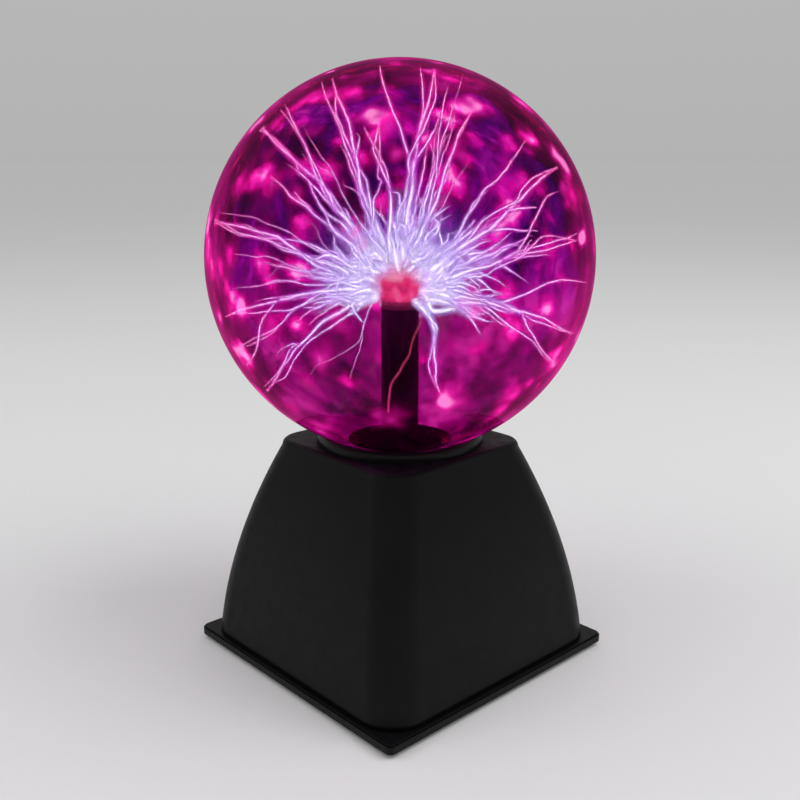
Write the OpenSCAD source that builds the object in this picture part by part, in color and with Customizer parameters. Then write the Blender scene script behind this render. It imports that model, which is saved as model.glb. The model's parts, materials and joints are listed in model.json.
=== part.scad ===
// Plasma ball: a gas-filled glass globe on a square, bow-sided base that holds its driver.
// The origin is on the ground under the middle of the base. +Z is up, and the controls face +Y.

/* [Globe] */
// Outside diameter of the glass globe
globe_d = 150; // [140:1:160]
// Thickness of the globe's glass
glass_t = 1.8; // [1.4:0.1:2.4]
// Outside diameter of the globe's neck
neck_d = 36; // [34:0.5:37]
// Length of the neck below the globe's surface
neck_l = 24; // [20:1:26]

/* [Electrode] */
// Diameter of the glass bulb round the electrode
bulb_d = 17.4; // [16:0.2:22]
// Outside diameter of the glass stem that carries the bulb
stem_d = 15; // [13:0.5:16]
// How far the electrode's centre lies below the globe's centre
bulb_drop = 9.5; // [4:0.5:16]

/* [Base] */
// Width of the square plinth
plinth_w = 122; // [121:1:130]
// Thickness of the plinth
plinth_t = 3.6; // [3:0.2:5]
// Width of the housing where it stands on the plinth
skirt_w = 118; // [116:1:119]
// Width of the housing at its top
crown_w = 73; // [72:1:78]
// Height of the housing above the plinth
housing_h = 85.5; // [82:0.5:90]
// Part of the housing's taper that is bow, which steepens it towards the top
bow = 28.7; // [20:0.1:32]
// Thickness of the housing's walls
wall = 2.4; // [2:0.1:3]
// Height of a rubber foot below the plinth
foot_h = 2; // [1.5:0.5:3]

/* [Controls] */
// Width of the recess in the back face
recess_w = 64; // [62:1:66]
// Height of the recess
recess_h = 22; // [20:1:24]
// Travel of the mode switch each way from its middle setting
switch_travel = 2.5; // [2:0.1:3]

/* [Hidden] */

smooth = 96;        // $fn of round parts
hull_smooth = 32;   // $fn of the circles that a hull is stretched over
gap = 0.05;         // running gap between parts that only touch
clear = 0.3;        // gap round a part that moves

// Levels, measured up from the ground
globe_r = globe_d / 2;
plate_z = foot_h;
skirt_z = plate_z + plinth_t;
crown_z = skirt_z + housing_h;
collar_h = 3.6;
seat_r = 31;        // radius at which the globe meets the collar's rim
globe_z = crown_z + collar_h + sqrt(globe_r * globe_r - seat_r * seat_r);
neck_r = neck_d / 2;
neck_top_z = globe_z - sqrt(globe_r * globe_r - neck_r * neck_r);
neck_z = neck_top_z - neck_l;
bulb_z = globe_z - bulb_drop;

// Colours
GLASS = [0.85, 0.5, 0.85, 0.4];
BLACK = [0.07, 0.07, 0.08];
DARK = [0.13, 0.13, 0.14];
STEEL = [0.72, 0.73, 0.75];
BRASS = [0.8, 0.66, 0.32];
FERRITE = [0.22, 0.22, 0.24];
COPPER = [0.75, 0.4, 0.2];
BOARD = [0.12, 0.34, 0.2];

// ---------- Shared shapes ----------

// A square of the given width with round corners
module round_square(w, r, fn = smooth) {
    square([w - 2 * r, w], center = true);
    square([w, w - 2 * r], center = true);
    for (x = [-1, 1], y = [-1, 1])
        translate([x * (w / 2 - r), y * (w / 2 - r)])
            circle(r, $fn = fn);
}

// Copies of the children at the corners of a rectangle of half-sides x and y
module at_corners(x, y) {
    for (i = [-1, 1], j = [-1, 1])
        translate([i * x, j * y, 0])
            children();
}

module rod(r, z0, z1) {
    translate([0, 0, z0])
        cylinder(h = z1 - z0, r = r, $fn = smooth);
}

module tube(outer, inner, z0, z1) {
    difference() {
        rod(outer, z0, z1);
        rod(inner, z0 - 1, z1 + 1);
    }
}

module block(low, high) {
    translate(low)
        cube(high - low);
}

// A cylinder along +Y between y0 and y1
module rod_y(r, y0, y1, fn = smooth) {
    translate([0, y0, 0])
        rotate([-90, 0, 0])
            cylinder(h = y1 - y0, r = r, $fn = fn);
}

// A pan-head screw whose head's underside is at z = 0 and whose shank goes up
module screw_up(head_r, head_h, shank_r, shank_l) {
    difference() {
        translate([0, 0, -head_h])
            cylinder(h = head_h, r = head_r, $fn = smooth);
        for (a = [0, 90])
            rotate(a)
                translate([-head_r * 0.6, -head_r * 0.12, -head_h - 1])
                    cube([head_r * 1.2, head_r * 0.24, 1 + head_h * 0.5]);
    }
    cylinder(h = shank_l, r = shank_r, $fn = smooth);
}

// Points of a curve through the given points, for a wire to follow
function blend(p, q, r, s, t) =
    0.5 * ((2 * q) + (r - p) * t + (2 * p - 5 * q + 4 * r - s) * t * t
        + (3 * q - p - 3 * r + s) * t * t * t);
function curve(points, steps) = let (n = len(points)) [
    for (i = [0 : n - 2], k = [0 : steps - 1])
        blend(points[max(i - 1, 0)], points[i], points[i + 1], points[min(i + 2, n - 1)], k / steps),
    points[n - 1]
];
function unit(v) = v / norm(v);
function heading(path, i) =
    unit(path[min(i + 1, len(path) - 1)] - path[max(i - 1, 0)]);
function side_of(path, i) = let (
    seed = i == 0 ? (abs(heading(path, 0)[2]) > 0.9 ? [1, 0, 0] : [0, 0, 1]) : side_of(path, i - 1),
    d = heading(path, i)) unit(seed - (seed * d) * d);

// A round wire of one polyhedron, swept along a curve through the points
module wire(points, r, sides = 8, steps = 4) {
    path = curve(points, steps);
    n = len(path);
    ring_points = [
        for (i = [0 : n - 1])
            let (d = heading(path, i), u = side_of(path, i), v = cross(d, u))
                for (k = [0 : sides - 1])
                    path[i] + r * (cos(360 * k / sides) * u + sin(360 * k / sides) * v)
    ];
    faces = concat(
        [[for (k = [0 : sides - 1]) k]],
        [for (i = [0 : n - 2], k = [0 : sides - 1])
            let (a = i * sides + k, b = i * sides + (k + 1) % sides)
                [a, a + sides, b + sides, b]],
        [[for (k = [sides - 1 : -1 : 0]) (n - 1) * sides + k]]);
    polyhedron(ring_points, faces, convexity = 6);
}

// ---------- Globe and electrode ----------

stem_r = stem_d / 2;
stem_t = 1.2;
bulb_r = bulb_d / 2;
bulb_t = 1.1;
flare_t = 2;

module glass_globe() {
    color(GLASS)
    difference() {
        union() {
            translate([0, 0, globe_z])
                sphere(globe_r, $fn = 160);
            rod(neck_r, neck_z, neck_top_z + 3);
        }
        translate([0, 0, globe_z])
            sphere(globe_r - glass_t, $fn = 160);
        rod(neck_r - glass_t, neck_z - 1, neck_top_z + 6);
    }
}

// Re-entrant glass tube: a flare that closes the neck, a tube and a bulb, open from below
module electrode_stem() {
    color(GLASS)
    difference() {
        union() {
            rod(neck_r - glass_t - gap, neck_z, neck_z + flare_t);
            rod(stem_r, neck_z, bulb_z);
            translate([0, 0, bulb_z])
                sphere(bulb_r, $fn = smooth);
        }
        rod(stem_r - stem_t, neck_z - 1, bulb_z);
        translate([0, 0, bulb_z])
            sphere(bulb_r - bulb_t, $fn = smooth);
    }
}

ball_r = bulb_r - bulb_t - 0.25;
rod_r = 1;
rod_foot_z = neck_z - 6;
ball_bore = 2;

module electrode_ball() {
    color([0.45, 0.42, 0.42])
    difference() {
        translate([0, 0, bulb_z])
            sphere(ball_r, $fn = smooth);
        rod(rod_r + gap, bulb_z - ball_r - 1, bulb_z - ball_r + ball_bore);
    }
}

module electrode_rod() {
    color(STEEL)
    rod(rod_r, rod_foot_z, bulb_z - ball_r + ball_bore - gap);
}

// Black insulating lining of the stem, which is what shows as its dark column
module stem_sleeve() {
    color(BLACK)
    tube(stem_r - stem_t - gap, rod_r + 0.4, neck_z - 2, bulb_z - bulb_r + 0.6);
}

tip_x = 11.5;
tip_r = 2.4;

// Sealed stub of the tube through which the globe was pumped out and filled
module exhaust_tip() {
    color(GLASS)
    translate([tip_x, 0, 0]) {
        rod(tip_r, neck_z - 6, neck_z);
        translate([0, 0, neck_z - 10])
            cylinder(h = 4, r1 = 0.6, r2 = tip_r, $fn = smooth);
    }
}

cap_t = 2;
cap_floor_z = neck_z - 15;

module neck_cap() {
    color(DARK)
    difference() {
        rod(neck_r + cap_t, cap_floor_z, neck_z + 6);
        rod(neck_r + gap, cap_floor_z + cap_t, neck_z + 7);
        rod(1.5 + gap, cap_floor_z - 1, cap_floor_z + cap_t + 1);
    }
}

module contact_stud() {
    color(BRASS)
    difference() {
        union() {
            rod(1.5, cap_floor_z - 4, rod_foot_z + 2);
            rod(3, cap_floor_z + cap_t + gap, cap_floor_z + cap_t + 2);
            rod(2.6, cap_floor_z - 1.8, cap_floor_z - gap);
        }
        rod(rod_r + gap, rod_foot_z - gap, rod_foot_z + 3);
    }
}

clamp_z = neck_z + 10;
clamp_t = 3;
grommet_r = neck_r + 2;

module neck_grommet() {
    color(BLACK)
    difference() {
        union() {
            rod(grommet_r, neck_z + 7, clamp_z + clamp_t + 2);
            rod(grommet_r + 3, clamp_z + clamp_t + gap, clamp_z + clamp_t + 2);
        }
        rod(neck_r + gap, neck_z, clamp_z + 10);
    }
}

// ---------- Collar ----------

collar_r = 33.6;
opening_r = 30;
ring_r = 1;                                  // cord radius of the globe's sealing ring
ring_path_r = 29.6;
ring_z = globe_z - sqrt(pow(globe_r + ring_r + 0.03, 2) - ring_path_r * ring_path_r);

module ring_cord(r) {
    translate([0, 0, ring_z])
        rotate_extrude($fn = smooth)
            translate([ring_path_r, 0])
                circle(r, $fn = hull_smooth);
}

module globe_gasket() {
    color(DARK)
    ring_cord(ring_r);
}

module collar_ring() {
    spigot_r = opening_r - 0.1;
    lip = 1.2;
    color(BLACK)
    difference() {
        translate([0, 0, crown_z])
            rotate_extrude($fn = smooth)
                polygon([
                    [27.4, -wall - 2], [spigot_r, -wall - 2], [spigot_r, gap], [collar_r, gap],
                    [collar_r, collar_h - lip - 0.8], [collar_r - 0.5, collar_h - 0.9],
                    [collar_r - lip, collar_h], [27.4, collar_h]]);
        translate([0, 0, globe_z])
            sphere(globe_r + 0.3, $fn = 160);
        ring_cord(ring_r + gap);
    }
}

// ---------- Housing ----------

crown_round = 2.6;          // radius of the edge round the housing's top
skirt_corner = 15;
crown_corner = 12;

// Width and corner radius of the housing at the fraction t of its height
function side_w(t) = skirt_w - (skirt_w - crown_w - bow) * t - bow * t * t;
function corner_r(t) = skirt_corner + (crown_corner - skirt_corner) * t;

module level(t, inset) {
    translate([0, 0, skirt_z + t * housing_h])
        linear_extrude(0.01)
            round_square(side_w(t) - 2 * inset, corner_r(t) - inset, hull_smooth);
}

// The solid inside the housing's outer face, or that face moved inwards by inset
module bow_pyramid(inset) {
    steps = 9;
    body_top = 1 - crown_round / housing_h;
    hull() {
        for (i = [0 : steps])
            level(body_top * i / steps, inset);
        for (a = [30, 60, 90])
            translate([0, 0, skirt_z + housing_h - crown_round * (1 - sin(a)) - 0.01])
                linear_extrude(0.01)
                    round_square(side_w(body_top) - 2 * inset - 2 * crown_round * (1 - cos(a)),
                        corner_r(1) - inset - crown_round * (1 - cos(a)), hull_smooth);
    }
}

recess_z = 12;
recess_y = 49;              // the recess's flat floor, which carries the controls
jack_x = -22;
mic_x = -8;
switch_x = 14;
control_z = recess_z + recess_h / 2;
boss_at = 44.5;
boss_r = 4.5;
boss_bore = 1.4;
post_at = 24;
post_r = 3.6;
post_bore = 1.1;
slot_h = 4.8;
knob_w = 4;
knob_h = 4;
mic_r = 4.8;

// Places the children on the axis of a control in the back recess
module at_control(x) {
    translate([x, 0, control_z])
        children();
}

module recess_pocket() {
    block([-recess_w / 2, recess_y, recess_z], [recess_w / 2, plinth_w, recess_z + recess_h]);
}

module control_holes() {
    slot_w = knob_w + 2 * switch_travel + 2 * clear;
    at_control(jack_x)
        rod_y(4.05, recess_y - wall - 1, recess_y + 1);
    at_control(mic_x) {
        rod_y(0.7, recess_y - wall - 1, recess_y + 1);
        for (a = [0 : 60 : 300])
            translate([2 * cos(a), 0, 2 * sin(a)])
                rod_y(0.7, recess_y - wall - 1, recess_y + 1);
    }
    at_control(switch_x) {
        block([-slot_w / 2, recess_y - wall - 1, -slot_h / 2], [slot_w / 2, recess_y + 1, slot_h / 2]);
        for (x = [-switch_screw_x, switch_screw_x])
            translate([x, 0, 0])
                rod_y(1.1, recess_y - wall - 1, recess_y + 1);
    }
}

module base_housing() {
    color(BLACK)
    difference() {
        union() {
            difference() {
                bow_pyramid(0);
                translate([0, 0, -wall])
                    bow_pyramid(wall);
                rod(opening_r, crown_z - wall - 1, crown_z + 1);
            }
            intersection() {
                bow_pyramid(0.4);
                block([-recess_w / 2 - wall, recess_y - wall, recess_z - wall],
                    [recess_w / 2 + wall, plinth_w, recess_z + recess_h + wall]);
            }
            at_corners(boss_at, boss_at)
                rod(boss_r, skirt_z + 2.5, skirt_z + 38.5);
            at_corners(post_at, post_at)
                rod(post_r, clamp_z + clamp_t + gap, crown_z - wall + 0.5);
        }
        recess_pocket();
        control_holes();
        at_corners(boss_at, boss_at)
            rod(boss_bore, skirt_z, skirt_z + 24);
        at_corners(post_at, post_at)
            rod(post_bore, clamp_z, crown_z - wall - 1);
    }
}

// ---------- Base plate, feet and their screws ----------

board_z = 14;
board_t = 1.6;
board_low = [-38, -40, board_z];
board_high = [38, 20, board_z + board_t];
board_mid_y = (board_low[1] + board_high[1]) / 2;
hole_x = 34;
hole_y = 26;
foot_r = 6.5;
foot_sunk = 0.8;
screw_at = boss_at;
screw_head_r = 2.8;

module base_plate() {
    lip_w = skirt_w - 2 * wall - 0.6;
    edge = 0.8;
    color(BLACK)
    difference() {
        union() {
            translate([0, 0, plate_z])
                linear_extrude(plinth_t - edge)
                    round_square(plinth_w, 2.5);
            translate([0, 0, skirt_z - edge])
                linear_extrude(edge)
                    round_square(plinth_w - 1.2, 2.1);
            translate([0, 0, skirt_z])
                linear_extrude(2)
                    difference() {
                        round_square(lip_w - 2, skirt_corner - wall - 1);
                        round_square(lip_w - 6, skirt_corner - wall - 2);
                    }
            translate([0, board_mid_y, 0])
                at_corners(hole_x, hole_y)
                    rod(3.2, skirt_z - 0.5, board_z);
        }
        // Countersunk seats and through holes for the housing's screws
        at_corners(screw_at, screw_at) {
            rod(screw_head_r + 0.3, plate_z - 1, plate_z + 2);
            rod(1.7, plate_z - 1, skirt_z + 3);
        }
        at_corners(boss_at, boss_at)
            rod(boss_r + 0.3, skirt_z, skirt_z + 3);
        // Shallow seats for the feet, clear of the screws
        for (p = feet_at)
            translate([p[0], p[1], 0])
                rod(foot_r + gap, plate_z - 1, plate_z + foot_sunk);
        translate([0, board_mid_y, 0])
            at_corners(hole_x, hole_y)
                rod(1, skirt_z + 1, board_z + 1);
        // Cooling slots
        for (i = [-3 : 3])
            translate([8 * i, 0, plate_z - 1])
                linear_extrude(plinth_t + 2) {
                    square([2.6, 36], center = true);
                    for (y = [-18, 18])
                        translate([0, y])
                            circle(1.3, $fn = smooth);
                }
    }
}

// The feet stand just inside the screws, on the plinth's diagonals
foot_in = 34;
feet_at = [[-foot_in, -foot_in], [foot_in, -foot_in], [foot_in, foot_in], [-foot_in, foot_in]];

module rubber_foot(i) {
    color(DARK)
    translate([feet_at[i][0], feet_at[i][1], 0]) {
        rod(foot_r, 0.8, foot_h + foot_sunk - gap);
        cylinder(h = 0.8, r1 = foot_r - 0.8, r2 = foot_r, $fn = smooth);
    }
}

module base_screws() {
    color(STEEL)
    at_corners(screw_at, screw_at)
        translate([0, 0, plate_z + 2])
            screw_up(screw_head_r, 1.7, 1.35, 14);
}

// ---------- Globe clamp ----------

module globe_clamp() {
    arm_w = 8.4;
    arm_end_r = 4.8;
    color(DARK)
    difference() {
        translate([0, 0, clamp_z])
            linear_extrude(clamp_t) {
                circle(27, $fn = smooth);
                at_corners(post_at, post_at)
                    circle(arm_end_r, $fn = smooth);
                for (a = [45, 135])
                    rotate(a)
                        square([2 * post_at * sqrt(2), arm_w], center = true);
            }
        rod(grommet_r + gap, clamp_z - 1, clamp_z + clamp_t + 1);
        at_corners(post_at, post_at)
            rod(1.5, clamp_z - 1, clamp_z + clamp_t + 1);
    }
}

module clamp_screws() {
    color(STEEL)
    at_corners(post_at, post_at)
        translate([0, 0, clamp_z - gap])
            screw_up(2.5, 1.6, 1.05, 9);
}

// ---------- Driver board ----------

board_top = board_z + board_t;

module driver_board() {
    color(BOARD)
    difference() {
        block(board_low, board_high);
        translate([0, board_mid_y, 0])
            at_corners(hole_x, hole_y)
                rod(1.5, board_z - 1, board_top + 1);
    }
}

module board_screws() {
    color(STEEL)
    translate([0, board_mid_y, board_top + gap])
        at_corners(hole_x, hole_y)
            rotate([180, 0, 0])
                screw_up(2.4, 1.5, 0.95, 7);
}

core_x = -14;
core_y = -12;
core_w = 30;
core_d = 12;
core_h = 15;                // height of each half
core_leg = 4;
core_back = 4;
core_mid_w = 8.6;

// One E-shaped half of the transformer's core, opening upwards
module core_half() {
    translate([-core_w / 2, -core_d / 2, 0])
        difference() {
            cube([core_w, core_d, core_h - 0.03]);
            for (side = [0, 1])
                translate([side ? (core_w + core_mid_w) / 2 : core_leg, -1, core_back])
                    cube([(core_w - core_mid_w) / 2 - core_leg, core_d + 2, core_h]);
        }
}

module at_core() {
    translate([core_x, core_y, board_top])
        children();
}

module transformer_core_lower() {
    color(FERRITE)
    at_core()
        core_half();
}

module transformer_core_upper() {
    color(FERRITE)
    at_core()
        translate([0, 0, 2 * core_h])
            rotate([180, 0, 0])
                core_half();
}

// A square-tube layer round the core's middle leg, between two heights
module layer(inner_w, inner_d, t, z0, z1) {
    difference() {
        block([-inner_w / 2 - t, -inner_d / 2 - t, z0], [inner_w / 2 + t, inner_d / 2 + t, z1]);
        block([-inner_w / 2, -inner_d / 2, z0 - 1], [inner_w / 2, inner_d / 2, z1 + 1]);
    }
}

spool_w = core_mid_w + 0.6;
spool_d = core_d + 0.6;
spool_t = 0.9;
spool_low = core_back + 0.2;
spool_high = 2 * core_h - core_back - 0.2;
winding_w = spool_w + 2 * spool_t + 2 * gap;
winding_d = spool_d + 2 * spool_t + 2 * gap;
primary_top = spool_low + 7;
flange_out = 5;

module transformer_bobbin() {
    color([0.86, 0.84, 0.76])
    at_core() {
        layer(spool_w, spool_d, spool_t, spool_low, spool_high);
        for (z = [spool_low, primary_top, spool_high - 0.8])
            layer(spool_w, spool_d, flange_out + spool_t, z, z + 0.8);
    }
}

module primary_winding() {
    color(COPPER)
    at_core()
        layer(winding_w, winding_d, 3.2, spool_low + 0.8 + gap, primary_top - gap);
}

module secondary_winding() {
    color([0.55, 0.27, 0.12])
    at_core()
        layer(winding_w, winding_d, 4.4, primary_top + 0.8 + gap, spool_high - 0.8 - gap);
}

sink_x = 13;
sink_y = -32;
sink_w = 30;
sink_t = 2;
sink_h = 28;
tab_z = board_top + 20;     // height of the transistor's screw

module heatsink() {
    color([0.6, 0.61, 0.63])
    translate([sink_x, sink_y, board_top + gap])
        difference() {
            union() {
                block([-sink_w / 2, -sink_t, 0], [sink_w / 2, 0, sink_h]);
                for (i = [0 : 5])
                    translate([-sink_w / 2 + 0.01 + i * (sink_w - 1.22) / 5, -sink_t - 4, 0])
                        cube([1.2, 4.2, sink_h]);
            }
            translate([0, 0, tab_z - board_top])
                rod_y(1.6, -10, 1);
        }
}

module power_transistor() {
    color(BLACK)
    translate([sink_x, sink_y + gap, 0]) {
        difference() {
            union() {
                block([-5, 0, board_top + 5], [5, 4.4, board_top + 14.5]);
                block([-5, 0, board_top + 14.4], [5, 1.3, board_top + 22.5]);
            }
            translate([0, 0, tab_z])
                rod_y(1.7, -1, 3);
        }
        for (x = [-2.5, 0, 2.5])
            block([x - 0.4, 1.6, board_top + gap], [x + 0.4, 2.2, board_top + 5.2]);
    }
}

module heatsink_screw() {
    color(STEEL)
    translate([sink_x, sink_y + gap + 1.3 + gap, tab_z])
        rotate([90, 0, 0])
            screw_up(2.6, 1.6, 1.4, 7);
}

// An upright electrolytic can with a crimped groove
module can(x, y, r, h) {
    translate([x, y, 0])
        difference() {
            rod(r, board_top + gap, board_top + h);
            tube(r + 1, r - 0.4, board_top + 2, board_top + 2.8);
            for (a = [0, 90])
                rotate(a)
                    block([-r * 0.7, -0.15, board_top + h - 0.3], [r * 0.7, 0.15, board_top + h + 1]);
        }
}

module filter_capacitor() {
    color([0.12, 0.16, 0.34])
    can(26, 8, 6.3, 20);
}

module audio_capacitor() {
    color([0.12, 0.16, 0.34])
    can(12, 12, 4, 11);
}

resistor_places = [[9, -6], [9, -10], [9, -14], [21, -6], [21, -10], [-24, 6], [-24, 10]];

module resistors() {
    color([0.78, 0.66, 0.48])
    for (p = resistor_places)
        translate([p[0], p[1], board_top + 1.6])
            rotate([0, 90, 0]) {
                translate([0, 0, -3])
                    cylinder(h = 6, r = 1.15, $fn = smooth);
                translate([0, 0, -4.4])
                    cylinder(h = 8.8, r = 0.3, $fn = smooth);
                for (s = [-1, 1])
                    translate([-0.3, -0.3, s * 4.1 - 0.3])
                        cube([1.85, 0.6, 0.6]);
            }
}

// An eight-pin chip with its leads
module chip(x, y) {
    color(BLACK)
    translate([x, y, board_top]) {
        difference() {
            block([-4.8, -3.2, 0.6], [4.8, 3.2, 4]);
            translate([-4.8, 0, 3.4])
                cylinder(h = 2, r = 1, $fn = smooth);
        }
        for (i = [0 : 3], s = [-1, 1])
            translate([-3.81 + 2.54 * i - 0.25, s * 3.6 - 0.2, gap])
                cube([0.5, 0.4, 2.35]);
        for (i = [0 : 3], s = [-1, 1])
            translate([-3.81 + 2.54 * i - 0.25, s > 0 ? 3.1 : -3.8, 2])
                cube([0.5, 0.7, 0.4]);
    }
}

module timer_chip() {
    chip(-26, -32);
}

module amplifier_chip() {
    chip(-6, 8);
}

module gain_trimmer() {
    color([0.15, 0.3, 0.62])
    translate([-33, 2, board_top])
        difference() {
            block([-3.2, -3.2, gap], [3.2, 3.2, 4.6]);
            difference() {
                rod(1.8, 4, 6);
                rod(1.3, 3, 7);
            }
        }
}

// ---------- Controls in the back recess ----------

module microphone() {
    color([0.6, 0.6, 0.62])
    at_control(mic_x) {
        rod_y(mic_r - 0.1, recess_y - wall - 6.5, recess_y - wall - 0.6);
        for (x = [-1.3, 1.3])
            translate([x, 0, 0])
                rod_y(0.3, recess_y - wall - 9, recess_y - wall - 6.4);
    }
}

module microphone_grommet() {
    color(BLACK)
    at_control(mic_x)
        difference() {
            rod_y(mic_r + 1.2, recess_y - wall - 6, recess_y - wall - gap);
            rod_y(mic_r, recess_y - wall - 7, recess_y - wall - 0.5);
            rod_y(3, recess_y - wall - 2, recess_y);
        }
}

jack_bore_r = 3;
jack_depth = 9.5;
jack_rim_y = recess_y + 1.6;
jack_floor_y = jack_rim_y - jack_depth;
jack_pin_r = 1;
jack_root_r = 1.3;          // thicker root that holds the pin in the body

module dc_jack_body() {
    color(BLACK)
    at_control(jack_x)
        difference() {
            union() {
                rod_y(5.4, recess_y + gap, jack_rim_y);
                rod_y(3.95, recess_y - 12, recess_y + gap);
                rod_y(3.4, recess_y - 14, recess_y - 12);
            }
            rod_y(jack_bore_r, jack_floor_y, jack_rim_y + 1);
            rod_y(jack_root_r + gap, recess_y - 15, jack_floor_y + 1);
        }
}

module dc_jack_pin() {
    color(BRASS)
    at_control(jack_x) {
        rod_y(jack_root_r, recess_y - 16, jack_floor_y);
        rod_y(jack_pin_r, jack_floor_y, jack_rim_y - 0.8);
    }
}

module dc_jack_nut() {
    color(STEEL)
    at_control(jack_x)
        difference() {
            rod_y(6.4, recess_y - wall - 2.6, recess_y - wall - gap, fn = 6);
            rod_y(4, recess_y - wall - 4, recess_y);
        }
}

switch_front = recess_y - wall - gap;      // face of the switch against the wall
switch_w = 19;
switch_half_h = 4.2;
switch_d = 7;
switch_screw_x = 12.5;
carrier_w = 8;

module mode_switch_body() {
    cavity_w = carrier_w + 2 * switch_travel + 2 * clear;
    color([0.5, 0.5, 0.53])
    at_control(switch_x)
        difference() {
            union() {
                block([-switch_w / 2, switch_front - switch_d, -switch_half_h],
                    [switch_w / 2, switch_front, switch_half_h]);
                block([-switch_screw_x - 3, switch_front - 0.8, -3.2],
                    [switch_screw_x + 3, switch_front, 3.2]);
                for (x = [-5.4, -1.8, 1.8, 5.4])
                    block([x - 0.5, switch_front - switch_d - 4, -0.25],
                        [x + 0.5, switch_front - switch_d + 0.5, 0.25]);
            }
            block([-cavity_w / 2, switch_front - 4, -3.2], [cavity_w / 2, switch_front - 0.8, 3.2]);
            block([-cavity_w / 2 + 2, switch_front - 2, -slot_h / 2],
                [cavity_w / 2 - 2, switch_front + 1, slot_h / 2]);
            for (x = [-switch_screw_x, switch_screw_x])
                translate([x, 0, 0])
                    rod_y(0.9, switch_front - 2, switch_front + 1);
        }
}

// The thumb piece, whose carrier runs inside the switch and whose ribs stand in the recess
module mode_switch_slider() {
    rib = 0.5;
    color([0.2, 0.2, 0.21])
    at_control(switch_x) {
        block([-carrier_w / 2, switch_front - 3.6, -2.8], [carrier_w / 2, switch_front - 1.2, 2.8]);
        block([-knob_w / 2, switch_front - 1.3, -knob_h / 2], [knob_w / 2, recess_y + 2, knob_h / 2]);
        for (x = [-1.75, -0.25, 1.25])
            block([x, recess_y + 1.9, -knob_h / 2], [x + rib, recess_y + 2.5, knob_h / 2]);
    }
}

module mode_switch_screws() {
    color(STEEL)
    at_control(switch_x)
        for (x = [-switch_screw_x, switch_screw_x])
            translate([x, recess_y + gap, 0])
                rotate([90, 0, 0])
                    screw_up(1.9, 1.1, 0.8, 5);
}

// ---------- Wires ----------

lead_r = 1.6;
boot_z = cap_floor_z - 9;
thin_r = 0.65;
pad_z = board_top + 0.3;     // where a thin wire ends, just over the board

// Rubber cap over the end of the high-voltage lead, on the neck's contact stud
module high_voltage_boot() {
    color([0.55, 0.1, 0.08])
    difference() {
        union() {
            rod(4, boot_z + 2, cap_floor_z - 1.9);
            translate([0, 0, boot_z])
                cylinder(h = 2, r1 = 2.6, r2 = 4, $fn = smooth);
        }
        rod(1.5 + gap, cap_floor_z - 4.2, cap_floor_z);
    }
}

module high_voltage_lead() {
    side_y = core_y + winding_d / 2 + 4.4;
    color([0.7, 0.12, 0.1])
    wire([[core_x, side_y + 0.2, 34], [core_x, side_y + 5, 34], [-12, 9, 30], [-4, 12, 27],
        [2, 8, 27], [2, 3, 31], [0, 0, 37], [0, 0, boot_z - 0.2]], lead_r, 10, 5);
}

module wire_pair(from, to, mid, spread) {
    for (s = [-1, 1])
        wire([from + [s * spread, 0, 0], from + [s * spread, -3, 0], mid + [s * spread, 0, 0],
            to + [s * spread, 0, 4], to + [s * spread, 0, 0]], thin_r, 6, 4);
}

module supply_wires() {
    color([0.8, 0.1, 0.1])
    wire_pair([jack_x, recess_y - 16.3, control_z], [-28, 15, pad_z], [-26, 24, 25], 1.8);
}

module switch_wires() {
    color([0.2, 0.3, 0.75])
    for (x = [-5.4, -1.8, 1.8])
        wire([[switch_x + x, switch_front - switch_d - 4.3, control_z],
            [switch_x + x, 32, control_z], [16 + x * 0.6, 25, 24],
            [17 + x * 0.6, 18, 20], [17 + x * 0.6, 17.6, pad_z]], thin_r, 6, 4);
}

module microphone_wires() {
    color([0.85, 0.85, 0.85])
    wire_pair([mic_x, recess_y - wall - 9.3, control_z], [-9, 16, pad_z], [-8.5, 25, 24], 1.3);
}

// ---------- Nodes ----------

glass_globe();
electrode_stem();
electrode_ball();
electrode_rod();
stem_sleeve();
exhaust_tip();
neck_cap();
contact_stud();
neck_grommet();
globe_gasket();
collar_ring();
base_housing();
base_plate();
rubber_foot(0);  // rubber_foot_1
rubber_foot(1);  // rubber_foot_2
rubber_foot(2);  // rubber_foot_3
rubber_foot(3);  // rubber_foot_4
base_screws();
globe_clamp();
clamp_screws();
driver_board();
board_screws();
transformer_core_lower();
transformer_core_upper();
transformer_bobbin();
primary_winding();
secondary_winding();
high_voltage_boot();
high_voltage_lead();
heatsink();
power_transistor();
heatsink_screw();
filter_capacitor();
audio_capacitor();
resistors();
timer_chip();
amplifier_chip();
gain_trimmer();
microphone();
microphone_grommet();
dc_jack_body();
dc_jack_pin();
dc_jack_nut();
mode_switch_body();
mode_switch_slider();
mode_switch_screws();
supply_wires();
switch_wires();
microphone_wires();
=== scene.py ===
"""The looks of a plasma ball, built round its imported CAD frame. Every length is in metres."""

import json
import math
import random

import bpy
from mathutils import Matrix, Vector, kdtree, noise


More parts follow.
